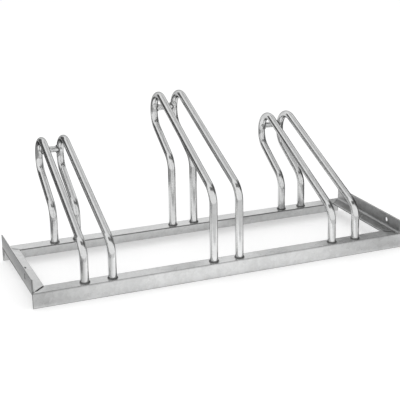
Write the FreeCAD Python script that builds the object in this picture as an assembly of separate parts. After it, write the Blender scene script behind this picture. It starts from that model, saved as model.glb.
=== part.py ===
"""Floor bike rack: a mitred frame of steel angle with three pairs of bent tube hoops.

The frame is four lengths of rolled equal angle. The two rails carry their upright leg
downwards and their flat leg inwards. The two side angles are turned over: their flat
leg is level with the rails' flat legs, and their other leg stands up at the outside.
All eight ends are sawn at 45 degrees, so the flat legs meet in a picture-frame mitre.

Each wheel place is a pair of hoops, bent from one length of tube each, which stand on
the rails' flat legs. The outer pairs stand low and the middle pair stands high, on
longer legs. The hoops of a pair draw together towards the back, where a short cross
tube joins them. Everything is held by weld beads, which are nodes of their own.

Millimetres. +X runs to the right along the rails, +Y to the back, +Z up. The origin is
on the floor, under the middle of the rack's overall length and depth.
"""

import FreeCAD, Part
import math
import os

from FreeCAD import Placement, Rotation, Vector

# ---- frame -----------------------------------------------------------------
RAIL_LENGTH = 1050.0        # outside to outside of the two side angles
FRAME_DEPTH = 355.0         # outside to outside of the two rails
ANGLE_LEG = 40.0            # rolled equal angle, both legs
ANGLE_THICKNESS = 4.0
ANGLE_ROOT_RADIUS = 6.0     # inside corner of the rolled section
ANGLE_TOE_RADIUS = 3.0      # rounded edge at the end of each leg

# ---- holes in the side angles ----------------------------------------------
FLOOR_HOLE_DIAMETER = 12.0  # one in each flat leg, half way back
LINK_HOLE_DIAMETER = 14.0   # one in each upright leg, near the front
LINK_HOLE_FROM_FRONT = 75.0

# ---- holes in the rails ----------------------------------------------------
VENT_HOLE_DIAMETER = 10.0   # one under each foot, where zinc runs in and out of the tube

# ---- hoops -----------------------------------------------------------------
TUBE_DIAMETER = 21.3
TUBE_WALL = 2.6
BEND_RADIUS = 52.0          # centre line, the same die for every bend
STAND_PITCH = 350.0
WHEEL_GAP_FRONT = 51.5      # clear width between the hoops at the front feet
WHEEL_GAP_REAR = 44.0       # the same at the rear feet
LOW_KNEE_HEIGHT = 130.5     # centre line corner above the front foot, from the floor
HIGH_KNEE_HEIGHT = 227.5
TOP_RUN_ANGLE = 24.1        # slope of the long run up to the back, degrees
REAR_RUN_ANGLE = 31.2       # slope of the run back down to the rear leg, degrees
BACK_OVERHANG = 122.0       # rear rail's back face to the hoops' back centre line
BACK_STRAIGHT = 5.5         # straight tube between the two bends at the back

# ---- cross tubes -----------------------------------------------------------
CROSS_TUBE_DIAMETER = 18.0
CROSS_TUBE_WALL = 2.0
LOW_CROSS_TUBE_ANGLE = 13.5  # how far round the crest bend it sits from the back, degrees
HIGH_CROSS_TUBE_ANGLE = 6.0

# ---- weld beads ------------------------------------------------------------
FOOT_BEAD = 3.0             # leg length of the ring of weld round each foot
CROSS_BEAD = 3.0            # leg length of the weld round each cross tube end
BEAD_BULGE = 0.12           # rise of a fillet weld's face, as a share of its leg
MITRE_BEAD_WIDTH = 7.0
MITRE_BEAD_HEIGHT = 1.6

# ---- derived ---------------------------------------------------------------
TUBE_RADIUS = TUBE_DIAMETER / 2
OVERALL_DEPTH = FRAME_DEPTH + BACK_OVERHANG + TUBE_RADIUS
FRONT_Y = -OVERALL_DEPTH / 2
REAR_Y = FRONT_Y + FRAME_DEPTH
FRONT_FOOT_Y = FRONT_Y + ANGLE_LEG / 2
REAR_FOOT_Y = REAR_Y - ANGLE_LEG / 2
BACK_Y = REAR_Y + BACK_OVERHANG
FLANGE_TOP_Z = ANGLE_LEG
END_X = RAIL_LENGTH / 2

# One wheel place each: name, centre in X, height of the knee, turn to the cross tube.
STANDS = (
    ("left", -STAND_PITCH, LOW_KNEE_HEIGHT, LOW_CROSS_TUBE_ANGLE),
    ("middle", 0.0, HIGH_KNEE_HEIGHT, HIGH_CROSS_TUBE_ANGLE),
    ("right", STAND_PITCH, LOW_KNEE_HEIGHT, LOW_CROSS_TUBE_ANGLE),
)
SIDES = (("left", -1), ("right", 1))
UP = Vector(0, 0, 1)


# ---- rolled angle ----------------------------------------------------------
def angle_section():
    """Face of the rolled section in X-Z: heel at the origin, legs along +X and -Z."""
    leg, thick = ANGLE_LEG, ANGLE_THICKNESS
    root, toe = ANGLE_ROOT_RADIUS, ANGLE_TOE_RADIUS
    diagonal = math.sqrt(0.5)

    def at(x, z):
        return Vector(x, 0, z)

    toe_flat = at(leg - toe * (1 - diagonal), -thick + toe * (1 - diagonal))
    toe_down = at(thick - toe * (1 - diagonal), -leg + toe * (1 - diagonal))
    root_mid = at(thick + root * (1 - diagonal), -thick - root * (1 - diagonal))
    edges = [
        Part.LineSegment(at(0, 0), at(leg, 0)),
        Part.LineSegment(at(leg, 0), at(leg, toe - thick)),
        Part.Arc(at(leg, toe - thick), toe_flat, at(leg - toe, -thick)),
        Part.LineSegment(at(leg - toe, -thick), at(thick + root, -thick)),
        Part.Arc(at(thick + root, -thick), root_mid, at(thick, -thick - root)),
        Part.LineSegment(at(thick, -thick - root), at(thick, toe - leg)),
        Part.Arc(at(thick, toe - leg), toe_down, at(thick - toe, -leg)),
        Part.LineSegment(at(thick - toe, -leg), at(0, -leg)),
        Part.LineSegment(at(0, -leg), at(0, 0)),
    ]
    return Part.Face(Part.Wire([edge.toShape() for edge in edges]))


def mitred_bar(length, turned_over=False):
    """Angle along +Y with its heel on the Y axis and both ends sawn at 45 degrees.

    The flat leg points to +X. The other leg points down, or up on a bar turned over.
    The vertical saw cuts run inwards from the heel, so the length is the heel's.
    """
    origin = Vector(0, 0, 0)
    bar = angle_section().extrude(Vector(0, length, 0))
    if turned_over:
        bar.rotate(origin, Vector(0, 1, 0), -90)
    reach = 2 * ANGLE_LEG
    for end_y, inwards in ((0.0, 1), (length, -1)):
        heel = Vector(0, end_y, -reach)
        offcut = Part.Face(Part.makePolygon([
            heel,
            heel + Vector(reach, inwards * reach, 0),
            heel + Vector(reach, 0, 0),
            heel,
        ])).extrude(UP * (2 * reach))
        bar = bar.cut(offcut)
    return bar


def placed(shape, origin, turn_z):
    """Turn the shape about Z through its own origin, then move it."""
    moved = shape.copy()
    moved.Placement = Placement(origin, Rotation(UP, turn_z))
    return moved


def vent_holes(foot_y):
    """Cutters for the holes that vent the tubes through one rail's flat leg."""
    middle_of_leg = ANGLE_LEG / 2
    return [
        Part.makeCylinder(
            VENT_HOLE_DIAMETER / 2,
            ANGLE_LEG,
            Vector(hoop_x(stand_x, side, foot_y), foot_y, FLANGE_TOP_Z - middle_of_leg),
            UP)
        for _, stand_x, _, _ in STANDS for _, side in SIDES
    ]


def rails():
    """Front and rear rail: flat leg on top pointing inwards, other leg down."""
    bar = mitred_bar(RAIL_LENGTH)
    front = placed(bar, Vector(END_X, FRONT_Y, FLANGE_TOP_Z), 90)
    rear = placed(bar, Vector(-END_X, REAR_Y, FLANGE_TOP_Z), -90)
    return {
        "front_rail": front.cut(vent_holes(FRONT_FOOT_Y)),
        "rear_rail": rear.cut(vent_holes(REAR_FOOT_Y)),
    }


def side_angle(side):
    """Side angle: flat leg level with the rails' flat legs, other leg standing up."""
    bar = mitred_bar(FRAME_DEPTH, turned_over=True)
    underside_z = FLANGE_TOP_Z - ANGLE_THICKNESS
    if side < 0:
        bar = placed(bar, Vector(-END_X, FRONT_Y, underside_z), 0)
    else:
        bar = placed(bar, Vector(END_X, REAR_Y, underside_z), 180)

    middle_of_leg = ANGLE_LEG / 2
    floor_hole = Part.makeCylinder(
        FLOOR_HOLE_DIAMETER / 2,
        ANGLE_LEG,
        Vector(side * (END_X - middle_of_leg), FRONT_Y + FRAME_DEPTH / 2,
               underside_z - middle_of_leg),
        UP)
    link_hole = Part.makeCylinder(
        LINK_HOLE_DIAMETER / 2,
        ANGLE_LEG,
        Vector(side * (END_X - middle_of_leg), FRONT_Y + LINK_HOLE_FROM_FRONT,
               (FLANGE_TOP_Z + underside_z + ANGLE_LEG) / 2),
        Vector(side, 0, 0))
    return bar.cut([floor_hole, link_hole])


# ---- bent tube -------------------------------------------------------------
def bent_path(points, radius):
    """Wire through the points: straight runs joined by tangent arcs of one radius."""
    edges = []
    start = points[0]
    for before, corner, after in zip(points, points[1:], points[2:]):
        back = (before - corner).normalize()
        ahead = (after - corner).normalize()
        half = back.getAngle(ahead) / 2
        arc_start = corner + back * (radius / math.tan(half))
        arc_end = corner + ahead * (radius / math.tan(half))
        to_centre = (back + ahead).normalize()
        arc_middle = corner + to_centre * (radius / math.sin(half) - radius)
        edges.append(Part.makeLine(start, arc_start))
        edges.append(Part.Arc(arc_start, arc_middle, arc_end).toShape())
        start = arc_end
    edges.append(Part.makeLine(start, points[-1]))
    return Part.Wire(edges)


def rod_along(path, radius):
    """Round rod of one radius along a path that starts straight up."""
    start = path.Vertexes[0].Point
    disc = Part.Wire(Part.makeCircle(radius, start, UP))
    return path.makePipeShell([disc], True, True)


def hoop_x(stand_x, side, y):
    """Hoop's centre line in X: the pair draws together from front foot to rear foot."""
    front = (WHEEL_GAP_FRONT + TUBE_DIAMETER) / 2
    rear = (WHEEL_GAP_REAR + TUBE_DIAMETER) / 2
    share = (y - FRONT_FOOT_Y) / (REAR_FOOT_Y - FRONT_FOOT_Y)
    return stand_x + side * (front + (rear - front) * share)


def hoop_heights(knee_z):
    """Heights of the hoop's centre line corners, and of the end of its crest bend."""
    top_slope = math.tan(math.radians(TOP_RUN_ANGLE))
    rear_slope = math.tan(math.radians(REAR_RUN_ANGLE))
    crest_z = knee_z + (BACK_Y - FRONT_FOOT_Y) * top_slope
    crest_tangent = BEND_RADIUS * math.tan(math.radians(90 + TOP_RUN_ANGLE) / 2)
    back_tangent = BEND_RADIUS * math.tan(math.radians(90 - REAR_RUN_ANGLE) / 2)
    back_z = crest_z - crest_tangent - BACK_STRAIGHT - back_tangent
    heel_z = back_z - (BACK_Y - REAR_FOOT_Y) * rear_slope
    return {
        "knee": knee_z,
        "crest": crest_z,
        "crest_bend_end": crest_z - crest_tangent,
        "back": back_z,
        "heel": heel_z,
    }


def cross_tube_ends(stand_x, knee_z, cross_tube_angle):
    """Where a cross tube's axis meets the two hoops' centre lines, left and right."""
    turn = math.radians(cross_tube_angle)
    y = BACK_Y - BEND_RADIUS * (1 - math.cos(turn))
    z = hoop_heights(knee_z)["crest_bend_end"] + BEND_RADIUS * math.sin(turn)
    return [Vector(hoop_x(stand_x, side, y), y, z) for _, side in SIDES]


def hoop_path(stand_x, side, knee_z):
    """Centre line of one hoop, from its front foot over the crest to its rear foot."""
    z = hoop_heights(knee_z)
    outline = (
        (FRONT_FOOT_Y, FLANGE_TOP_Z),
        (FRONT_FOOT_Y, z["knee"]),
        (BACK_Y, z["crest"]),
        (BACK_Y, z["back"]),
        (REAR_FOOT_Y, z["heel"]),
        (REAR_FOOT_Y, FLANGE_TOP_Z),
    )
    points = [Vector(hoop_x(stand_x, side, y), y, height) for y, height in outline]
    return bent_path(points, BEND_RADIUS)


# ---- weld beads ------------------------------------------------------------
def foot_bead(x, y):
    """Fillet weld round a foot: a ring with a rounded face, seated on the flange."""
    inner, outer = TUBE_RADIUS, TUBE_RADIUS + FOOT_BEAD
    bulge = FOOT_BEAD * BEAD_BULGE
    toe = Vector(outer, 0, 0)
    throat = Vector(inner + FOOT_BEAD / 2 + bulge, 0, FOOT_BEAD / 2 + bulge)
    crown = Vector(inner, 0, FOOT_BEAD)
    root = Vector(inner, 0, 0)
    outline = Part.Wire([
        Part.makeLine(root, toe),
        Part.Arc(toe, throat, crown).toShape(),
        Part.makeLine(crown, root),
    ])
    ring = Part.Face(outline).revolve(Vector(0, 0, 0), UP, 360)
    ring.translate(Vector(x, y, FLANGE_TOP_Z))
    return ring


def mitre_bead(side, front):
    """Low bead along the top of one mitre, from the root of the angle to its toe."""
    half_width = MITRE_BEAD_WIDTH / 2
    radius = (half_width ** 2 + MITRE_BEAD_HEIGHT ** 2) / (2 * MITRE_BEAD_HEIGHT)
    heel_inset = ANGLE_THICKNESS + ANGLE_ROOT_RADIUS + half_width
    run = (ANGLE_LEG - half_width - heel_inset) * math.sqrt(2)
    profile = Part.Face(Part.Wire([
        Part.makeLine(Vector(0, -half_width, 0), Vector(0, half_width, 0)),
        Part.Arc(
            Vector(0, half_width, 0),
            Vector(0, 0, MITRE_BEAD_HEIGHT),
            Vector(0, -half_width, 0)).toShape(),
    ]))
    bead = profile.extrude(Vector(run, 0, 0))
    inward = Vector(-side, 1 if front else -1, 0)
    corner = Vector(side * END_X, FRONT_Y if front else REAR_Y, FLANGE_TOP_Z)
    turn = math.degrees(math.atan2(inward.y, inward.x))
    return placed(bead, corner + inward * heel_inset, turn)


# ---- wheel places ----------------------------------------------------------
def stand(name, stand_x, knee_z, cross_tube_angle):
    """Nodes of one wheel place: two hoops, their cross tube and their weld beads."""
    paths = [hoop_path(stand_x, side, knee_z) for _, side in SIDES]
    outers = [rod_along(path, TUBE_RADIUS) for path in paths]
    nodes = {}
    for (side_name, _), path, outer in zip(SIDES, paths, outers):
        bore = rod_along(path, TUBE_RADIUS - TUBE_WALL)
        nodes[f"{name}_stand_{side_name}_hoop"] = outer.cut(bore)

    start, end = cross_tube_ends(stand_x, knee_z, cross_tube_angle)

    def round_bar(radius):
        return Part.makeCylinder(radius, start.distanceToPoint(end), start, end - start)

    cross_radius = CROSS_TUBE_DIAMETER / 2
    cross_bar = round_bar(cross_radius)
    cross_bore = round_bar(cross_radius - CROSS_TUBE_WALL)
    nodes[f"{name}_stand_cross_tube"] = cross_bar.cut([cross_bore] + outers)

    grown_bar = round_bar(cross_radius + CROSS_BEAD)
    beads = []
    for path, outer in zip(paths, outers):
        grown_hoop = rod_along(path, TUBE_RADIUS + CROSS_BEAD)
        beads.append(grown_bar.common(grown_hoop).cut([cross_bar, outer]))
    nodes[f"{name}_stand_cross_tube_welds"] = Part.makeCompound(
        [solid for bead in beads for solid in bead.Solids])

    feet = [foot_bead(hoop_x(stand_x, side, y), y)
            for _, side in SIDES for y in (FRONT_FOOT_Y, REAR_FOOT_Y)]
    nodes[f"{name}_stand_foot_welds"] = Part.makeCompound(feet)
    return nodes


def rack():
    """Every node of the rack, by name."""
    nodes = rails()
    for side_name, side in SIDES:
        nodes[f"{side_name}_side_angle"] = side_angle(side)
        nodes[f"front_{side_name}_corner_weld"] = mitre_bead(side, True)
        nodes[f"rear_{side_name}_corner_weld"] = mitre_bead(side, False)
    for name, stand_x, knee_z, cross_tube_angle in STANDS:
        nodes.update(stand(name, stand_x, knee_z, cross_tube_angle))
    return nodes


def main():
    """Build every node, write its STEP file and print what it holds."""
    os.makedirs("parts", exist_ok=True)
    for name, shape in rack().items():
        shape.exportStep(f"parts/{name}.step")
        box = shape.BoundBox
        print(f"{name:34s} solids {len(shape.Solids)}  valid {shape.isValid()}"
              f"  volume {shape.Volume:10.0f}  x {box.XMin:7.1f} {box.XMax:7.1f}"
              f"  y {box.YMin:7.1f} {box.YMax:7.1f}  z {box.ZMin:6.1f} {box.ZMax:6.1f}")


main()
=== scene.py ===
"""Looks of a floor bike rack: rolled steel angle and bent tube, welded and hot-dip galvanised.

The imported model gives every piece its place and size. This script dresses its steel in
zinc, puts rippled weld beads in place of the plain ones, and sets up the studio and the
camera. All lengths are in metres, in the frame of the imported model: +X along the rails,
+Y from the front rail to the back, +Z up, with the floor at Z = 0.
"""

import logging
import math
from collections.abc import Callable
from dataclasses import dataclass, replace
from enum import Enum

import bpy
from mathutils import Matrix, Vector


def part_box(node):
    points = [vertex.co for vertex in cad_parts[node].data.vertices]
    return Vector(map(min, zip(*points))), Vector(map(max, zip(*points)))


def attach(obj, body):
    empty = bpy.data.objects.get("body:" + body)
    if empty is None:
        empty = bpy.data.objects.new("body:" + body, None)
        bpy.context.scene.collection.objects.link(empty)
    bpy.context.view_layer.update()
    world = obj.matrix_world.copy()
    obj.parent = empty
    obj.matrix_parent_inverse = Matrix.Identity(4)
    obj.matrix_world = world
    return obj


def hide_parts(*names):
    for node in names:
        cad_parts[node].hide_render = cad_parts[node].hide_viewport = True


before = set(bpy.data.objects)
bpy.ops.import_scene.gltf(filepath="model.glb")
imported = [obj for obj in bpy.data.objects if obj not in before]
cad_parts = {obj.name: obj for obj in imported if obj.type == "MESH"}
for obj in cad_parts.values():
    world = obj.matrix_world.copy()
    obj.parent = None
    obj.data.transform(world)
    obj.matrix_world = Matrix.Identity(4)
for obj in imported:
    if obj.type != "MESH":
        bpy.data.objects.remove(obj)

LOG = logging.getLogger("bike_rack")
BODY = "root"
LEG_NODE = "front_rail"
SURFACE = "Principled BSDF"
FLOAT = "NodeSocketFloat"
VECTOR = "NodeSocketVector"
WHITE = (1.0, 1.0, 1.0, 1.0)
ALONG = Vector((1.0, 0.0, 0.0))
UP = Vector((0.0, 0.0, 1.0))
RACK_MIDDLE = Vector((0.0, 0.0, 0.2))

Colour = tuple[float, float, float, float]
Sockets = dict[str, bpy.types.NodeSocket]


class Slot(Enum):
    """Material slots of the record."""

    ANGLE = "galvanised_angle"
    TUBE = "galvanised_tube"
    WELD = "galvanised_weld"


# ---- node graphs ------------------------------------------------------------------
class Graph:
    """Thin helper that adds and links shader nodes in one tree."""

    def __init__(self, tree: bpy.types.NodeTree) -> None:
        """Keep the tree that nodes are added to."""
        self.tree = tree

    def add(self, kind: str, **settings: object) -> bpy.types.Node:
        """Add one node.

        Args:
            kind: Blender's identifier of the node.
            settings: attributes to set on the new node.

        Returns:
            The new node.
        """
        node = self.tree.nodes.new(kind)
        for name, value in settings.items():
            setattr(node, name, value)
        return node

    def feed(self, node: bpy.types.Node, socket: str | int, source: object) -> None:
        """Link a socket to an output, or set it to a plain value.

        Args:
            node: node whose input is fed.
            socket: name or number of the input.
            source: output socket, number or colour.
        """
        if isinstance(source, bpy.types.NodeSocket):
            self.tree.links.new(source, node.inputs[socket])
        else:
            node.inputs[socket].default_value = source

    def math(self, operation: str, first: object, second: object = 0.0) -> bpy.types.NodeSocket:
        """Add a Math node.

        Args:
            operation: Blender's name of the operation.
            first: first operand, an output socket or a number.
            second: second operand.

        Returns:
            The output socket.
        """
        node = self.add("ShaderNodeMath", operation=operation)
        self.feed(node, 0, first)
        self.feed(node, 1, second)
        return node.outputs[0]

    def weighted(self, first: object, first_share: object, second: object,
                 second_share: object) -> bpy.types.NodeSocket:
        """Add two values, each times its share."""
        return self.math("ADD", self.math("MULTIPLY", first, first_share),
                         self.math("MULTIPLY", second, second_share))

    def swing(self, value: object, strength: object) -> bpy.types.NodeSocket:
        """Turn a value that swings about a half into one of given strength about zero."""
        return self.math("MULTIPLY", self.math("SUBTRACT", value, 0.5), strength)

    def spread(self, value: object, low: float, high: float,
               to_low: float = 0.0, to_high: float = 1.0) -> bpy.types.NodeSocket:
        """Map a value smoothly from one range to another.

        Args:
            value: output socket to map.
            low: value that becomes to_low.
            high: value that becomes to_high.
            to_low: result at the low end.
            to_high: result at the high end.

        Returns:
            The mapped output.
        """
        node = self.add("ShaderNodeMapRange", interpolation_type="SMOOTHSTEP")
        for socket, source in enumerate((value, low, high, to_low, to_high)):
            self.feed(node, socket, source)
        return node.outputs[0]

    def noise(self, vector: object, scale: object, detail: float = 3.0,
              roughness: float = 0.55, distortion: float = 0.0) -> bpy.types.NodeSocket:
        """Add 3-D noise.

        Args:
            vector: coordinates in metres.
            scale: cells per metre.
            detail: octaves.
            roughness: strength of the finer octaves.
            distortion: how far the noise warps itself.

        Returns:
            The noise value, about 0.5 on average.
        """
        node = self.add("ShaderNodeTexNoise", noise_dimensions="3D")
        self.feed(node, "Vector", vector)
        self.feed(node, "Scale", scale)
        self.feed(node, "Detail", detail)
        self.feed(node, "Roughness", roughness)
        self.feed(node, "Distortion", distortion)
        return node.outputs["Fac"]

    def stretched(self, vector: object, scale: tuple[float, float, float]) -> bpy.types.NodeSocket:
        """Scale coordinates by axis.

        Args:
            vector: coordinates.
            scale: factor along each axis.

        Returns:
            The scaled coordinates.
        """
        node = self.add("ShaderNodeMapping")
        self.feed(node, "Vector", vector)
        self.feed(node, "Scale", scale)
        return node.outputs[0]

    def axes(self, vector: object) -> tuple[bpy.types.NodeSocket, ...]:
        """Split a vector.

        Args:
            vector: output socket to split.

        Returns:
            Its X, Y and Z.
        """
        node = self.add("ShaderNodeSeparateXYZ")
        self.feed(node, 0, vector)
        return tuple(node.outputs)

    def blend(self, share: object, first: object, second: object) -> bpy.types.NodeSocket:
        """Mix two colours.

        Args:
            share: how much of the second colour shows.
            first: colour at share 0.
            second: colour at share 1.

        Returns:
            The mixed colour.
        """
        node = self.add("ShaderNodeMix", data_type="RGBA")
        self.feed(node, 0, share)
        self.feed(node, 6, first)
        self.feed(node, 7, second)
        return node.outputs[2]


class SharedEffect:
    """A shader node group with named inputs and outputs, built once for all finishes.

    An input is its name, its kind and its default, which is None for a vector.
    """

    name = ""
    inputs: tuple[tuple[str, str, float | None], ...] = ()
    outputs: tuple[tuple[str, str], ...] = ()

    def group(self) -> bpy.types.NodeTree:
        """Find the group, and build it at the first call.

        Returns:
            The group.
        """
        found = bpy.data.node_groups.get(self.name)
        if found:
            return found
        tree = bpy.data.node_groups.new(self.name, "ShaderNodeTree")
        for label, kind, default in self.inputs:
            socket = tree.interface.new_socket(label, in_out="INPUT", socket_type=kind)
            if default is not None:
                socket.default_value = default
        for label, kind in self.outputs:
            tree.interface.new_socket(label, in_out="OUTPUT", socket_type=kind)
        graph = Graph(tree)
        entry = graph.add("NodeGroupInput")
        leave = graph.add("NodeGroupOutput")
        for label, source in self.build(graph, entry.outputs).items():
            graph.feed(leave, label, source)
        return tree

    def build(self, graph: Graph, given: Sockets) -> Sockets:
        """Fill the group.

        Args:
            graph: helper on the group's tree.
            given: the group's inputs, by name.

        Returns:
            The socket that feeds each output, by name.
        """
        raise NotImplementedError

    def place(self, graph: Graph, **sources: object) -> Sockets:
        """Put the group into a material.

        Args:
            graph: helper on the material's tree.
            sources: what feeds each input; underscores stand for spaces.

        Returns:
            What the group puts out, by name.
        """
        node = graph.add("ShaderNodeGroup", node_tree=self.group())
        for label, source in sources.items():
            graph.feed(node, label.replace("_", " "), source)
        return node.outputs


class ZincSpangle(SharedEffect):
    """Crystals of the zinc bath: cells of slightly different tone with ragged edges."""

    name = "zinc_spangle"
    inputs = (("Vector", VECTOR, None), ("Cells per metre", FLOAT, 90.0), ("Contrast", FLOAT, 0.5))
    outputs = (("Tone", FLOAT), ("Frost", FLOAT))
    warp_scale = 160.0
    warp_detail = 4.0
    warp_reach = 0.006
    cell_ratios = (1.0, 2.7)
    large_share = 0.62
    frost_scale = 900.0

    def build(self, graph: Graph, given: Sockets) -> Sockets:
        """Lay out two sizes of crystal cell, warped by noise.

        Args:
            graph: helper on the group's tree.
            given: the group's inputs, by name.

        Returns:
            The sockets of Tone and Frost.
        """
        warp = graph.add("ShaderNodeTexNoise")
        graph.feed(warp, "Vector", given["Vector"])
        graph.feed(warp, "Scale", self.warp_scale)
        graph.feed(warp, "Detail", self.warp_detail)
        scaled = graph.add("ShaderNodeVectorMath", operation="SCALE")
        graph.feed(scaled, 0, warp.outputs["Color"])
        graph.feed(scaled, "Scale", self.warp_reach)
        shifted = graph.add("ShaderNodeVectorMath", operation="ADD")
        graph.feed(shifted, 0, given["Vector"])
        graph.feed(shifted, 1, scaled.outputs[0])
        tones = []
        for ratio in self.cell_ratios:
            cells = graph.add("ShaderNodeTexVoronoi", feature="F1")
            graph.feed(cells, "Vector", shifted.outputs[0])
            graph.feed(cells, "Scale", graph.math("MULTIPLY", given["Cells per metre"], ratio))
            split = graph.add("ShaderNodeSeparateColor")
            graph.feed(split, 0, cells.outputs["Color"])
            tones.append(split.outputs[0])
        both = graph.weighted(tones[0], self.large_share, tones[1], 1.0 - self.large_share)
        tone = graph.math("ADD", graph.swing(both, given["Contrast"]), 0.5)
        frost = graph.noise(given["Vector"], self.frost_scale, detail=2.0)
        return {"Tone": tone, "Frost": frost}


class ZincFlow(SharedEffect):
    """Streaks and clouds where the zinc ran off as the rack was lifted from the bath."""

    name = "zinc_flow"
    inputs = (("Vector", VECTOR, None), ("Streak scale", FLOAT, 60.0))
    outputs = (("Streaks", FLOAT), ("Clouds", FLOAT))
    drawn_out = (1.0, 1.0, 0.16)
    cloud_scale = 14.0

    def build(self, graph: Graph, given: Sockets) -> Sockets:
        """Lay out noise that is drawn out along Z, and slow clouds.

        Args:
            graph: helper on the group's tree.
            given: the group's inputs, by name.

        Returns:
            The sockets of Streaks and Clouds.
        """
        drawn = graph.stretched(given["Vector"], self.drawn_out)
        streaks = graph.noise(drawn, given["Streak scale"], detail=4.0, roughness=0.6,
                              distortion=0.4)
        clouds = graph.noise(given["Vector"], self.cloud_scale, detail=3.0, roughness=0.5)
        return {"Streaks": streaks, "Clouds": clouds}


class SoftEdges(SharedEffect):
    """Rounded edges of steel, seen as a bent normal and a mask of the edge itself.

    The mask compares a widely rounded normal with the flat one, by the cosine of the
    angle between them.
    """

    name = "soft_edges"
    inputs = (("Radius", FLOAT, 0.0008), ("Dull width", FLOAT, 0.0025))
    outputs = (("Normal", VECTOR), ("Edge", FLOAT))
    cosine_at_start = 0.995
    cosine_at_full = 0.93

    def build(self, graph: Graph, given: Sockets) -> Sockets:
        """Round the normal twice, narrowly to be seen and widely for the mask.

        Args:
            graph: helper on the group's tree.
            given: the group's inputs, by name.

        Returns:
            The sockets of Normal and Edge.
        """
        rounded = graph.add("ShaderNodeBevel", samples=6)
        graph.feed(rounded, "Radius", given["Radius"])
        wide = graph.add("ShaderNodeBevel", samples=8)
        graph.feed(wide, "Radius", given["Dull width"])
        flat = graph.add("ShaderNodeNewGeometry")
        dot = graph.add("ShaderNodeVectorMath", operation="DOT_PRODUCT")
        graph.feed(dot, 0, wide.outputs[0])
        graph.feed(dot, 1, flat.outputs["Normal"])
        edge = graph.spread(dot.outputs["Value"], self.cosine_at_start, self.cosine_at_full)
        return {"Normal": rounded.outputs[0], "Edge": edge}


class LipShade(SharedEffect):
    """Painted shade in a band round the flat leg's edge, strongest at the rear, as a mask.

    Heights are measured from the leg's top face, and steepness by the normal's share
    along Z.
    """

    name = "lip_shade"
    inputs = (("Vector", VECTOR, None), ("Leg top", FLOAT, 0.04))
    outputs = (("Shade", FLOAT),)
    bottom = (-0.0042, -0.0030)
    top = (0.0012, 0.0004)
    steepness = (0.75, 0.35)
    depth = (-0.20, 0.06)
    front_share = 0.3

    def build(self, graph: Graph, given: Sockets) -> Sockets:
        """Pick steep metal between the leg's two faces.

        Args:
            graph: helper on the group's tree.
            given: the group's inputs, by name.

        Returns:
            The socket of Shade.
        """
        depth, height = graph.axes(given["Vector"])[1:]
        upwards = graph.axes(graph.add("ShaderNodeNewGeometry").outputs["True Normal"])[2]
        above = graph.math("SUBTRACT", height, given["Leg top"])
        band = graph.math("MULTIPLY", graph.spread(above, *self.bottom),
                          graph.spread(above, *self.top))
        steep = graph.spread(upwards, *self.steepness)
        rear = graph.spread(depth, *self.depth, self.front_share, 1.0)
        return {"Shade": graph.math("MULTIPLY", graph.math("MULTIPLY", band, steep), rear)}


class CornerShade(SharedEffect):
    """Painted shade in inner corners, where the metal round a point closes in.

    The mask starts and is full at two shares of directions that are open.
    """

    name = "corner_shade"
    inputs = (("Reach", FLOAT, 0.012),)
    outputs = (("Shade", FLOAT),)
    open_at_start = 0.92
    open_at_full = 0.35

    def build(self, graph: Graph, given: Sockets) -> Sockets:
        """Turn the share of open directions into a mask.

        Args:
            graph: helper on the group's tree.
            given: the group's inputs, by name.

        Returns:
            The socket of Shade.
        """
        cover = graph.add("ShaderNodeAmbientOcclusion", samples=6, only_local=True)
        graph.feed(cover, "Distance", given["Reach"])
        return {"Shade": graph.spread(cover.outputs["AO"], self.open_at_start, self.open_at_full)}


SPANGLE = ZincSpangle()
FLOW = ZincFlow()
EDGES = SoftEdges()
CORNERS = CornerShade()
LIP = LipShade()


# ---- finishes ---------------------------------------------------------------------
ZINC_CAST = (1.0, 1.006, 1.004)
STREAK_STRENGTH = 0.5
CLOUD_STRENGTH = 0.7
TONE_RANGE = (0.1, 0.9)
MATT_SHARE = 0.5
MATT_RANGE = (0.25, 0.75)
# Near-black that stands for wear and painted shade, and the roughness it adds.
SHADE_AND_WEAR_TONE = 0.05
SHADE_AND_WEAR_ROUGHNESS = 0.2
BUMP_DEPTH = 0.0004
STREAK_RELIEF = 0.8
FROST_RELIEF = 0.15


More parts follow.
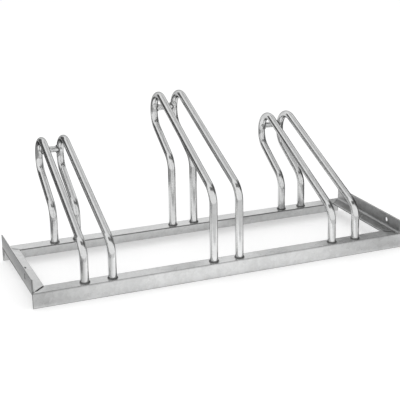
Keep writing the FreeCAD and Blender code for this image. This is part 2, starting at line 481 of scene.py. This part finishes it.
@dataclass(frozen=True)
class ZincFinish:
    """Hot-dip galvanised steel.

    Attributes:
        name: name of the material.
        slot: material slot of the record; not used.
        dark: linear reflectance of the darkest crystals.
        light: linear reflectance of the lightest crystals.
        smooth: roughness of the smoothest spots.
        rough: roughness of the frostiest spots.
        cells_per_metre: large crystals along a metre.
        contrast: how far the crystals differ in tone.
        relief: strength of the bump.
        edge_radius: radius of the rounded edges.
        edge_dull_width: reach of the darkened band at the edges.
        edge_wear_and_shade: share of near-black on that band, partly wear and partly painted
            shade.
        corner_reach: how near the metal round an inner corner is.
        corner_shading: share of near-black painted as shade in such a corner.
        lip_shading: share of near-black painted as shade round the flat leg's edge.
        edge_tint: how much the metal mirrors where it turns away from the eye.
    """

    name: str
    slot: Slot
    dark: float
    light: float
    smooth: float
    rough: float
    cells_per_metre: float
    contrast: float
    relief: float
    edge_radius: float
    edge_dull_width: float
    edge_wear_and_shade: float
    corner_reach: float
    corner_shading: float
    lip_shading: float = 0.0
    edge_tint: float = 1.0

    def coat(self, piece: bpy.types.Object) -> None:
        """Give a piece this finish and no other."""
        piece.data.materials.clear()
        piece.data.materials.append(self.material())

    def tint(self, tone: float) -> Colour:
        """Grey of the tone, with the faintest cast."""
        return (*(tone * share for share in ZINC_CAST), 1.0)

    def material(self) -> bpy.types.Material:
        """Find the material, and build it at the first call.

        Returns:
            The material.
        """
        found = bpy.data.materials.get(self.name)
        if found:
            return found
        material = bpy.data.materials.new(self.name)
        material.use_nodes = True
        graph = Graph(material.node_tree)
        shader = material.node_tree.nodes[SURFACE]
        where = graph.add("ShaderNodeTexCoord").outputs["Object"]
        spangle = SPANGLE.place(graph, Vector=where, Cells_per_metre=self.cells_per_metre,
                                Contrast=self.contrast)
        flow = FLOW.place(graph, Vector=where)
        edges = EDGES.place(graph, Radius=self.edge_radius, Dull_width=self.edge_dull_width)
        # Mask of wear and painted shade.
        darkened = self.wear_and_shade_mask(graph, where, edges)
        graph.feed(shader, "Base Color", self.colour(graph, spangle, flow, darkened))
        graph.feed(shader, "Roughness", self.roughness(graph, spangle, darkened))
        graph.feed(shader, "Metallic", 1.0)
        graph.feed(shader, "Specular Tint", self.tint(self.edge_tint))
        graph.feed(shader, "Normal", self.bumps(graph, spangle, flow, edges))
        return material

    def wear_and_shade_mask(self, graph: Graph, where: bpy.types.NodeSocket,
                 edges: Sockets) -> bpy.types.NodeSocket:
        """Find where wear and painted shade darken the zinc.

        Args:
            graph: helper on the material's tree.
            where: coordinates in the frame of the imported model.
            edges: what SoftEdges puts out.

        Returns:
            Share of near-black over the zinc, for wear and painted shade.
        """
        # Painted shade in inner corners, blended towards near-black.
        corner = CORNERS.place(graph, Reach=self.corner_reach)
        # Edges darkened towards near-black: partly wear, partly painted shade along the flat legs'
        # edges.
        edges_worn_and_shaded = graph.math("MULTIPLY", edges["Edge"], self.edge_wear_and_shade)
        shaded_corners = graph.math("MULTIPLY", corner["Shade"], self.corner_shading)
        darkened = graph.math("MAXIMUM", edges_worn_and_shaded, shaded_corners)
        if not self.lip_shading:
            return darkened
        # Painted shade round the flat leg's edge, darkest at the rear rail.
        lip = LIP.place(graph, Vector=where, Leg_top=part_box(LEG_NODE)[1][2])
        lip_shaded = graph.math("MULTIPLY", lip["Shade"], self.lip_shading)
        return graph.math("MAXIMUM", darkened, lip_shaded)

    def colour(self, graph: Graph, spangle: Sockets, flow: Sockets,
               darkened: bpy.types.NodeSocket) -> bpy.types.NodeSocket:
        """Mix the colour from crystals, flow marks, wear and painted shade.

        Args:
            graph: helper on the material's tree.
            spangle: what ZincSpangle puts out.
            flow: what ZincFlow puts out.
            darkened: share of near-black, for wear and painted shade.

        Returns:
            The colour.
        """
        marks = graph.math("ADD", graph.swing(flow["Streaks"], STREAK_STRENGTH),
                           graph.swing(flow["Clouds"], CLOUD_STRENGTH))
        tone = graph.spread(graph.math("ADD", spangle["Tone"], marks), *TONE_RANGE)
        zinc = graph.blend(tone, self.tint(self.dark), self.tint(self.light))
        # Near-black over the darkened places: wear, and painted shade in corners, round the lip
        # and at edges.
        return graph.blend(darkened, zinc, self.tint(SHADE_AND_WEAR_TONE))

    def roughness(self, graph: Graph, spangle: Sockets,
                  darkened: bpy.types.NodeSocket) -> bpy.types.NodeSocket:
        """Roughen the frosty crystals and the darkened places.

        Args:
            graph: helper on the material's tree.
            spangle: what ZincSpangle puts out.
            darkened: share of near-black, for wear and painted shade.

        Returns:
            The roughness.
        """
        matt = graph.weighted(spangle["Frost"], MATT_SHARE, spangle["Tone"], 1.0 - MATT_SHARE)
        sheen = graph.spread(matt, *MATT_RANGE, self.smooth, self.rough)
        return graph.math("ADD", sheen, graph.math("MULTIPLY", darkened, SHADE_AND_WEAR_ROUGHNESS))

    def bumps(self, graph: Graph, spangle: Sockets, flow: Sockets,
              edges: Sockets) -> bpy.types.NodeSocket:
        """Raise the streaks and the frost over the rounded edges.

        Args:
            graph: helper on the material's tree.
            spangle: what ZincSpangle puts out.
            flow: what ZincFlow puts out.
            edges: what SoftEdges puts out.

        Returns:
            The normal.
        """
        bump = graph.add("ShaderNodeBump")
        graph.feed(bump, "Strength", self.relief)
        graph.feed(bump, "Distance", BUMP_DEPTH)
        graph.feed(bump, "Height", graph.weighted(flow["Streaks"], STREAK_RELIEF,
                                                  spangle["Frost"], FROST_RELIEF))
        graph.feed(bump, "Normal", edges["Normal"])
        return bump.outputs[0]


ANGLE_ZINC = ZincFinish(
    "angle_zinc", Slot.ANGLE, dark=0.56, light=0.68, smooth=0.26, rough=0.38,
    cells_per_metre=95.0, contrast=0.5, relief=0.15, edge_radius=0.0010,
    edge_dull_width=0.0026, edge_wear_and_shade=0.70, corner_reach=0.016, corner_shading=0.75,
    lip_shading=0.75)
# Darker, rougher copy of the angle's zinc for the right side angle: its darker tone is painted
# shade.
SHADED_ANGLE_ZINC = replace(
    ANGLE_ZINC, name="shaded_angle_zinc", dark=0.34, light=0.47, smooth=0.30, rough=0.44,
    contrast=0.7, relief=0.2, edge_dull_width=0.0020, edge_wear_and_shade=0.5,
    corner_shading=0.30, lip_shading=0.0)
TUBE_ZINC = ZincFinish(
    "tube_zinc", Slot.TUBE, dark=0.64, light=0.76, smooth=0.10, rough=0.18,
    cells_per_metre=120.0, contrast=0.4, relief=0.06, edge_radius=0.0004,
    edge_dull_width=0.0004, edge_wear_and_shade=0.3, corner_reach=0.010, corner_shading=0.7,
    edge_tint=0.35)
WELD_ZINC = ZincFinish(
    "weld_zinc", Slot.WELD, dark=0.12, light=0.24, smooth=0.28, rough=0.48,
    cells_per_metre=300.0, contrast=0.6, relief=0.3, edge_radius=0.0003,
    edge_dull_width=0.0003, edge_wear_and_shade=0.2, corner_reach=0.006, corner_shading=0.85)
DARK_WELD_ZINC = replace(
    WELD_ZINC, name="dark_weld_zinc", dark=0.07, light=0.15, smooth=0.34, rough=0.52)
PALE_WELD_ZINC = replace(
    WELD_ZINC, name="pale_weld_zinc", dark=0.42, light=0.62, rough=0.46, corner_shading=0.4)


# ---- meshes -----------------------------------------------------------------------
def link(thing: bpy.types.Object) -> None:
    """Put an object into the scene."""
    bpy.context.scene.collection.objects.link(thing)


def copied(piece: bpy.types.Object, move: Matrix) -> bpy.types.Object:
    """Copy a piece with a mesh of its own.

    Args:
        piece: the piece to copy.
        move: where the copy goes, applied to its mesh.

    Returns:
        The copy.
    """
    copy = bpy.data.objects.new(piece.name, piece.data.copy())
    copy.data.transform(move)
    if move.determinant() < 0:
        copy.data.flip_normals()
    link(copy)
    return copy


def as_one(pieces: list[bpy.types.Object]) -> bpy.types.Object:
    """Join pieces into the first of them.

    Args:
        pieces: the pieces to join.

    Returns:
        The joined piece, active and selected.
    """
    bpy.ops.object.select_all(action="DESELECT")
    for piece in pieces:
        piece.select_set(True)
    bpy.context.view_layer.objects.active = pieces[0]
    bpy.ops.object.join()
    return bpy.context.object


def finish_piece(pieces: list[bpy.types.Object], name: str, node: str,
                 finish: ZincFinish) -> None:
    """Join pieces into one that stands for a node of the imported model.

    Args:
        pieces: what the node is made of.
        name: name of the joined piece.
        node: node that it replaces.
        finish: what it is coated with.
    """
    joined = as_one(pieces)
    joined.name = name
    finish.coat(joined)
    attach(joined, BODY)
    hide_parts(node)
    LOG.info("%s replaces %s, %d faces", name, node, len(joined.data.polygons))


def dress(node: str, finish: ZincFinish) -> None:
    """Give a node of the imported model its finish."""
    finish.coat(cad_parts[node])
    LOG.info("%s wears %s", node, finish.name)


def middle_of(node: str) -> Vector:
    """Middle of a node's box."""
    low, high = (Vector(corner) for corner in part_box(node))
    return (low + high) / 2


# ---- weld beads -------------------------------------------------------------------
@dataclass(frozen=True)
class Ripple:
    """Where one solidified ripple of a weld lies: its middle, travel and face."""

    middle: Vector
    travel: Vector
    face: Vector


@dataclass
class RippledBead:
    """A run of weld metal: overlapping ripples under one skin.

    The ripples are squashed balls laid along a path, each tilted back over the one
    before. They are then merged by a voxel skin, as molten metal merges.
    """

    radius: float
    pitch: float
    squash: float = 0.62
    tilt: float = 28.0
    segments: int = 16
    rings: int = 10
    voxel: float = 0.00042
    relaxing: float = 0.5
    relax_steps: int = 2

    def ball(self) -> bpy.types.Object:
        """Model one ripple at the origin, with its travel along +X and its face along +Z.

        Returns:
            The ripple.
        """
        bpy.ops.object.select_all(action="DESELECT")
        bpy.ops.mesh.primitive_uv_sphere_add(segments=self.segments, ring_count=self.rings,
                                             radius=self.radius)
        ripple = bpy.context.object
        bpy.ops.object.mode_set(mode="EDIT")
        bpy.ops.mesh.select_all(action="SELECT")
        bpy.ops.transform.resize(value=(self.squash, 1.0, 1.0))
        bpy.ops.transform.rotate(value=math.radians(self.tilt), orient_axis="Y",
                                 center_override=(0.0, 0.0, 0.0))
        bpy.ops.object.mode_set(mode="OBJECT")
        return ripple

    def lay(self, ripples: list[Ripple]) -> bpy.types.Object:
        """Lay ripples along a path and merge them.

        Args:
            ripples: where each one goes.

        Returns:
            The bead, with its place in its mesh.
        """
        ball = self.ball()
        copies = []
        for ripple in ripples:
            across = ripple.face.cross(ripple.travel).normalized()
            turn = Matrix((ripple.travel, across, ripple.face)).transposed()
            copies.append(copied(ball, Matrix.Translation(ripple.middle) @ turn.to_4x4()))
        bpy.data.objects.remove(ball)
        bead = as_one(copies)
        skin = bead.modifiers.new("skin", "REMESH")
        skin.mode = "VOXEL"
        skin.voxel_size = self.voxel
        bpy.ops.object.modifier_apply(modifier=skin.name)
        relax = bead.modifiers.new("relax", "SMOOTH")
        relax.factor = self.relaxing
        relax.iterations = self.relax_steps
        bpy.ops.object.modifier_apply(modifier=relax.name)
        bpy.ops.object.shade_smooth()
        return bead

    def ring(self, point: Callable[[float], tuple[Vector, Vector]],
             length: float) -> bpy.types.Object:
        """Lay a closed ring.

        Args:
            point: gives the middle and the face of a ripple from its turn in radians.
            length: about how long the ring is.

        Returns:
            The bead.
        """
        count = round(length / self.pitch)
        half_step = math.pi / count
        ripples = []
        for step in range(count):
            turn = 2 * math.pi * step / count
            middle, face = point(turn)
            travel = (point(turn + half_step)[0] - point(turn - half_step)[0]).normalized()
            face = (face - travel * face.dot(travel)).normalized()
            ripples.append(Ripple(middle, travel, face))
        return self.lay(ripples)

    def line(self, start: Vector, end: Vector, face: Vector) -> bpy.types.Object:
        """Lay a straight run.

        Args:
            start: middle of the first ripple.
            end: middle of the last ripple.
            face: direction that the bead's face looks.

        Returns:
            The bead.
        """
        count = round((end - start).length / self.pitch)
        travel = (end - start).normalized()
        return self.lay([Ripple(start.lerp(end, step / count), travel, face)
                         for step in range(count + 1)])


# ---- the rack ---------------------------------------------------------------------
@dataclass
class AngleFrame:
    """The two rails and two side angles, with their corner welds."""

    bright: tuple[str, ...] = ("front_rail", "rear_rail", "left_side_angle")
    # The right side angle wears the darker copy of the zinc: painted shade on its inner face.
    darkened: tuple[str, ...] = ("right_side_angle",)
    dark_corners: tuple[str, ...] = ("front_left_corner_weld", "front_right_corner_weld")
    pale_corners: tuple[str, ...] = ("rear_left_corner_weld", "rear_right_corner_weld")
    bead_radius: float = 0.0033
    bead_pitch: float = 0.0022
    bead_sunk: float = 0.0014

    def build(self) -> None:
        """Dress the angle and lay its corner welds."""
        for node in self.bright:
            dress(node, ANGLE_ZINC)
        for node in self.darkened:
            dress(node, SHADED_ANGLE_ZINC)
        for node in self.dark_corners:
            self.corner_weld(node, DARK_WELD_ZINC)
        for node in self.pale_corners:
            self.corner_weld(node, PALE_WELD_ZINC)

    def corner_weld(self, node: str, finish: ZincFinish) -> None:
        """Lay a bead from the root of a mitre to its toe.

        Args:
            node: the plain bead that it replaces.
            finish: what it is coated with.
        """
        low, high = (Vector(corner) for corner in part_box(node))
        middle = (low + high) / 2
        half = (high.x - low.x) / 2 - self.bead_radius
        outwards = Vector((math.copysign(half, middle.x),
                           math.copysign(half, middle.y - middle_of("left_side_angle").y), 0.0))
        level = Vector((middle.x, middle.y, low.z - self.bead_sunk))
        bead = RippledBead(self.bead_radius, self.bead_pitch)
        run = bead.line(level + outwards, level - outwards, UP)
        finish_piece([run], node + "_bead", node, finish)


@dataclass
class WheelPlace:
    """One pair of hoops with its cross tube and welds.

    Attributes:
        name: which pair, as the nodes' names have it.
        cross_lean: how far the cross tube's welds lean with the crest, in degrees.
        tube_radius: outer radius of a hoop's tube.
        gap_front: clear gap between the hoops at the front rail.
        gap_rear: the same at the rear rail.
        weld_leg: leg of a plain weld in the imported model.
        foot_share: share of the leg at which a foot bead's middle lies.
        foot_bead_radius: half width of the bead round a foot.
        foot_turn: turn from one foot's bead to the next, so that their ripples differ.
        cross_share: share of the leg at which a cross tube bead's middle lies.
        cross_bead_radius: half width of the bead round a cross tube.
        saddle_limit: share of the hoop's radius that the saddle reaches sideways.
        saddle_stretch: length of the saddle for a plain circle's 1.
        bead_pitch: step from ripple to ripple.
    """

    name: str
    cross_lean: float
    tube_radius: float = 0.01065
    gap_front: float = 0.0515
    gap_rear: float = 0.0440
    weld_leg: float = 0.0030
    foot_share: float = 0.30
    foot_bead_radius: float = 0.00205
    foot_turn: float = 0.7
    cross_share: float = 0.25
    cross_bead_radius: float = 0.0020
    saddle_limit: float = 0.98
    saddle_stretch: float = 1.15
    bead_pitch: float = 0.0018

    def build(self, foot_ring: bpy.types.Object) -> None:
        """Dress the tubes and lay their welds.

        Args:
            foot_ring: bead round a foot whose middle is at the origin.
        """
        for part in ("left_hoop", "right_hoop", "cross_tube"):
            dress(f"{self.name}_stand_{part}", TUBE_ZINC)
        self.foot_welds(foot_ring)
        self.cross_welds()

    @classmethod
    def foot_ring(cls) -> bpy.types.Object:
        """Model the bead round one foot, standing on the floor at the origin.

        Returns:
            The bead.
        """
        rise = cls.weld_leg * cls.foot_share
        reach = cls.tube_radius + rise

        def point(turn: float) -> tuple[Vector, Vector]:
            """Middle and face of the ripple at a turn."""
            out = Vector((math.cos(turn), math.sin(turn), 0.0))
            return out * reach + UP * rise, out + UP

        bead = RippledBead(cls.foot_bead_radius, cls.bead_pitch)
        return bead.ring(point, 2 * math.pi * reach)

    def foot_welds(self, foot_ring: bpy.types.Object) -> None:
        """Put a ring round each of the four feet.

        Args:
            foot_ring: bead round a foot whose middle is at the origin.
        """
        node = f"{self.name}_stand_foot_welds"
        stand_x = middle_of(f"{self.name}_stand_cross_tube").x
        rings = []
        for rail, gap in (("front_rail", self.gap_front), ("rear_rail", self.gap_rear)):
            foot_y = middle_of(rail).y
            top_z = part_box(rail)[1][2]
            for side in (-1, 1):
                place = Vector((stand_x + side * (gap / 2 + self.tube_radius), foot_y, top_z))
                turn = Matrix.Rotation(self.foot_turn * len(rings) + stand_x, 4, "Z")
                rings.append(copied(foot_ring, Matrix.Translation(place) @ turn))
        finish_piece(rings, f"{self.name}_stand_foot_beads", node, WELD_ZINC)

    def cross_welds(self) -> None:
        """Lay a bead round both ends of the cross tube, along the saddle of the joint."""
        tube = f"{self.name}_stand_cross_tube"
        low, high = (Vector(corner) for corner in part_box(tube))
        cross_radius = (high.z - low.z) / 2
        coped = math.sqrt(self.tube_radius ** 2 - cross_radius ** 2)
        half_span = (high.x - low.x) / 2 + coped
        rise = self.weld_leg * self.cross_share
        reach = cross_radius + rise

        def point(turn: float) -> tuple[Vector, Vector]:
            """Follow the joint round the right end of a level tube at the origin.

            Args:
                turn: turn round the cross tube in radians.

            Returns:
                Middle and face of the ripple.
            """
            out = Vector((0.0, math.cos(turn), math.sin(turn)))
            beside = min(abs(reach * math.cos(turn)), self.tube_radius * self.saddle_limit)
            saddle = math.sqrt(self.tube_radius ** 2 - beside ** 2) + rise
            return out * reach + ALONG * (half_span - saddle), out - ALONG

        bead = RippledBead(self.cross_bead_radius, self.bead_pitch)
        right = bead.ring(point, 2 * math.pi * reach * self.saddle_stretch)
        lean = Matrix.Rotation(math.radians(self.cross_lean), 4, "X")
        place = Matrix.Translation((low + high) / 2)
        mirror = Matrix.Scale(-1.0, 4, ALONG)
        left = copied(right, place @ lean @ mirror)
        right.data.transform(place @ lean)
        finish_piece([right, left], f"{self.name}_stand_cross_tube_beads", tube + "_welds",
                     WELD_ZINC)


@dataclass
class BikeRack:
    """The whole rack."""

    angle_frame: AngleFrame
    places: tuple[WheelPlace, ...]

    def build(self) -> None:
        """Build every sub-assembly."""
        self.angle_frame.build()
        foot_ring = WheelPlace.foot_ring()
        for place in self.places:
            place.build(foot_ring)
        bpy.data.objects.remove(foot_ring)


# ---- studio -----------------------------------------------------------------------
FLOOR_HEIGHT = -0.0006
MAT_HEIGHT = 0.0004
CARD_GLOW = 0.45


def grey(tone: float) -> Colour:
    """Neutral grey of a tone."""
    return (tone, tone, tone, 1.0)


def matt_material(name: str, tone: float, roughness: float) -> bpy.types.Material:
    """Make a material with no gloss.

    Args:
        name: name of the material.
        tone: its linear reflectance.
        roughness: how rough its surface is.

    Returns:
        The material.
    """
    material = bpy.data.materials.new(name)
    material.use_nodes = True
    shader = material.node_tree.nodes[SURFACE]
    shader.inputs["Base Color"].default_value = grey(tone)
    shader.inputs["Roughness"].default_value = roughness
    shader.inputs["Specular IOR Level"].default_value = 0.0
    return material


def seen_ray(graph: Graph) -> bpy.types.NodeSocket:
    """Pick the rays that see the background: camera, glossy and transmission.

    Args:
        graph: helper on the tree of the material or the world.

    Returns:
        The mask.
    """
    path = graph.add("ShaderNodeLightPath")
    seen = graph.math("MAXIMUM", path.outputs["Is Camera Ray"], path.outputs["Is Glossy Ray"])
    return graph.math("MAXIMUM", seen, path.outputs["Is Transmission Ray"])


@dataclass(frozen=True)
class PhotoCamera:
    """Camera at the photograph's place.

    Angles are in degrees. The focal length and the optical axis are in pixels of the
    square photograph.
    """

    place: tuple[float, float, float] = (-1.0048, -2.5395, 1.0216)
    yaw: float = 21.952
    pitch: float = 15.156
    roll: float = -0.852
    focal_pixels: float = 1022.8
    axis_pixel: tuple[float, float] = (200.0, 150.0)
    picture_pixels: int = 400
    sensor_millimetres: float = 36.0
    nearest: float = 0.05
    farthest: float = 100.0

    def build(self) -> None:
        """Make the camera and look through it."""
        yaw, pitch, roll = (math.radians(a) for a in (self.yaw, self.pitch, self.roll))
        ahead = Vector((math.sin(yaw) * math.cos(pitch), math.cos(yaw) * math.cos(pitch),
                        -math.sin(pitch)))
        level = Vector((math.cos(yaw), -math.sin(yaw), 0.0))
        above = level.cross(ahead)
        right = level * math.cos(roll) + above * math.sin(roll)
        up = above * math.cos(roll) - level * math.sin(roll)
        data = bpy.data.cameras.new("photo_camera")
        data.sensor_width = self.sensor_millimetres
        data.lens = self.focal_pixels / self.picture_pixels * self.sensor_millimetres
        data.shift_x = (self.picture_pixels / 2 - self.axis_pixel[0]) / self.picture_pixels
        data.shift_y = (self.axis_pixel[1] - self.picture_pixels / 2) / self.picture_pixels
        data.clip_start = self.nearest
        data.clip_end = self.farthest
        camera = bpy.data.objects.new("photo_camera", data)
        turn = Matrix((right, up, -ahead)).transposed()
        camera.matrix_world = Matrix.Translation(self.place) @ turn.to_4x4()
        link(camera)
        bpy.context.scene.camera = camera


@dataclass(frozen=True)
class Heading:
    """A direction out from the rack: azimuth from +X towards +Y, and height, in degrees."""

    azimuth: float
    elevation: float
    distance: float

    def place(self) -> Vector:
        """Find the point that lies this way from the middle of the rack.

        Returns:
            The point.
        """
        turn, rise = math.radians(self.azimuth), math.radians(self.elevation)
        level = self.distance * math.cos(rise)
        return RACK_MIDDLE + Vector((level * math.cos(turn), level * math.sin(turn),
                                     self.distance * math.sin(rise)))

    def facing_rack(self) -> Matrix:
        """Stand at that point with local -Z towards the rack and local Y upwards.

        Returns:
            The pose.
        """
        place = self.place()
        aim = (RACK_MIDDLE - place).to_track_quat("-Z", "Y")
        return Matrix.Translation(place) @ aim.to_matrix().to_4x4()


@dataclass(frozen=True)
class SoftBox:
    """A large area lamp that points at the rack and isn't mirrored in it."""

    name: str
    heading: Heading
    width: float
    height: float
    watts: float

    def build(self) -> None:
        """Add the lamp."""
        data = bpy.data.lights.new(self.name, "AREA")
        data.shape = "RECTANGLE"
        data.size = self.width
        data.size_y = self.height
        data.energy = self.watts
        lamp = bpy.data.objects.new(self.name, data)
        lamp.matrix_world = self.heading.facing_rack()
        lamp.visible_glossy = False
        link(lamp)


@dataclass(frozen=True)
class Flag:
    """A matt card that only the metal's reflections see, as a photographer's flag.

    A flat card lies on the floor, and any other one faces the rack. A card with an end
    tone glows faintly, as the floor does, and runs from its tone in the middle to that
    one at its ends: a painted falloff of light on the floor.
    """

    name: str
    heading: Heading
    width: float
    height: float
    tone: float
    flat: bool = False
    end_tone: float | None = None

    def build(self) -> None:
        """Add the card."""
        bpy.ops.object.select_all(action="DESELECT")
        bpy.ops.mesh.primitive_plane_add(size=1.0)
        card = bpy.context.object
        card.name = self.name
        card.scale = (self.width, self.height, 1.0)
        bpy.ops.object.transform_apply(location=False, rotation=False, scale=True)
        if self.flat:
            card.location = self.heading.place()
            card.location.z = MAT_HEIGHT
            card.rotation_euler.z = math.radians(self.heading.azimuth)
        else:
            card.matrix_world = self.heading.facing_rack()
        material = matt_material(self.name, self.tone, roughness=1.0)
        if self.end_tone is not None:
            self.fade(material.node_tree)
        card.data.materials.append(material)
        card.visible_camera = False
        card.visible_diffuse = False
        card.visible_shadow = False
        card.visible_transmission = False

    def fade(self, tree: bpy.types.NodeTree) -> None:
        """Paint light falling off from the card's middle to its ends, and let it glow.

        Args:
            tree: the card's material.
        """
        graph = Graph(tree)
        shader = tree.nodes[SURFACE]
        along = graph.axes(graph.add("ShaderNodeTexCoord").outputs["Object"])[1]
        out = graph.math("DIVIDE", graph.math("ABSOLUTE", along), self.height / 2)
        share = graph.spread(graph.math("MULTIPLY", out, out), 0.0, 1.0)
        tone = graph.blend(share, grey(self.tone), grey(self.end_tone))
        graph.feed(shader, "Base Color", tone)
        graph.feed(shader, "Emission Color", tone)
        graph.feed(shader, "Emission Strength", CARD_GLOW)


@dataclass
class Studio:
    """Pale floor, white surroundings, soft lamps and flags for the metal to mirror."""

    floor_half_width: float = 14.0
    floor_tone: float = 0.74
    floor_roughness: float = 0.9
    floor_glow: float = 0.34
    sky_light: float = 0.90
    lamps: tuple[SoftBox, ...] = (
        SoftBox("back_softbox", Heading(128.0, 62.0, 2.8), 1.6, 1.4, 9.0),
        SoftBox("front_softbox", Heading(-140.0, 24.0, 3.4), 2.0, 1.4, 9.0),
    )
    flags: tuple[Flag, ...] = (
        Flag("back_left_flag", Heading(134.0, 19.0, 1.85), 1.30, 1.40, 0.14),
        Flag("front_right_flag", Heading(-14.0, 42.0, 2.5), 1.8, 1.9, 0.17),
        Flag("low_right_flag", Heading(12.0, 24.0, 2.4), 0.9, 0.9, 0.12),
        Flag("overhead_flag", Heading(-100.0, 62.0, 2.5), 3.2, 0.9, 0.26),
        Flag("right_flag", Heading(2.0, 9.0, 1.12), 0.80, 0.80, 0.08),
        Flag("back_right_flag", Heading(34.0, 11.0, 1.07), 0.26, 0.5, 0.25),
        Flag("grey_ceiling", Heading(40.0, 70.0, 2.6), 2.6, 2.0, 0.88),
        Flag("front_mat", Heading(-90.0, 0.0, 1.27), 1.6, 2.8, 0.74, flat=True),
        # Painted falloff of light: bright and glowing in its middle, darker towards its ends.
        Flag("near_light_falloff_mat", Heading(-90.0, 0.0, 0.36), 0.21, 1.1, 0.84, flat=True, end_tone=0.45),
        Flag("left_mat", Heading(180.0, 0.0, 1.20), 1.3, 1.8, 0.34, flat=True),
        Flag("far_left_mat", Heading(168.0, 0.0, 1.45), 1.2, 0.35, 0.12, flat=True),
        Flag("back_left_mat", Heading(128.0, 0.0, 1.35), 1.5, 0.9, 0.15, flat=True),
        # Painted shadow of the floor inside the frame, which only the reflections see.
        Flag("painted_floor_shadow_mat", Heading(-5.0, 0.0, 0.33), 0.32, 0.14, 0.45, flat=True),
        Flag("right_mat", Heading(4.5, 0.0, 1.375), 1.62, 0.8, 0.12, flat=True),
    )

    def build(self) -> None:
        """Set up all of the studio."""
        bpy.context.scene.view_settings.view_transform = "Standard"
        self.world()
        self.floor()
        for lamp in self.lamps:
            lamp.build()
        for flag in self.flags:
            flag.build()
        PhotoCamera().build()

    def world(self) -> None:
        """White to the eye and to reflections, a slightly weaker light to everything else."""
        world = bpy.data.worlds.new("studio_world")
        bpy.context.scene.world = world
        world.use_nodes = True
        graph = Graph(world.node_tree)
        background = world.node_tree.nodes["Background"]
        graph.feed(background, "Color", WHITE)
        extra = graph.math("MULTIPLY", seen_ray(graph), 1.0 - self.sky_light)
        graph.feed(background, "Strength", graph.math("ADD", extra, self.sky_light))

    def floor(self) -> None:
        """Pale floor that keeps the rack's shadow and meets the white surroundings."""
        bpy.ops.object.select_all(action="DESELECT")
        bpy.ops.mesh.primitive_plane_add(size=2 * self.floor_half_width,
                                         location=(0.0, 0.0, FLOOR_HEIGHT))
        floor = bpy.context.object
        floor.name = "studio_floor"
        material = matt_material("studio_floor", self.floor_tone, self.floor_roughness)
        graph = Graph(material.node_tree)
        shader = material.node_tree.nodes[SURFACE]
        graph.feed(shader, "Emission Color", WHITE)
        glow = graph.math("MULTIPLY", seen_ray(graph), self.floor_glow)
        graph.feed(shader, "Emission Strength", glow)
        floor.data.materials.append(material)


def main() -> None:
    """Dress the rack and set up the studio."""
    logging.basicConfig(level=logging.INFO, format="%(name)s: %(message)s")
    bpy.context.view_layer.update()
    places = (
        WheelPlace("left", cross_lean=13.5),
        WheelPlace("middle", cross_lean=6.0),
        WheelPlace("right", cross_lean=13.5),
    )
    BikeRack(AngleFrame(), places).build()
    Studio().build()
    bpy.context.view_layer.update()


if __name__ == "__main__":
    main()
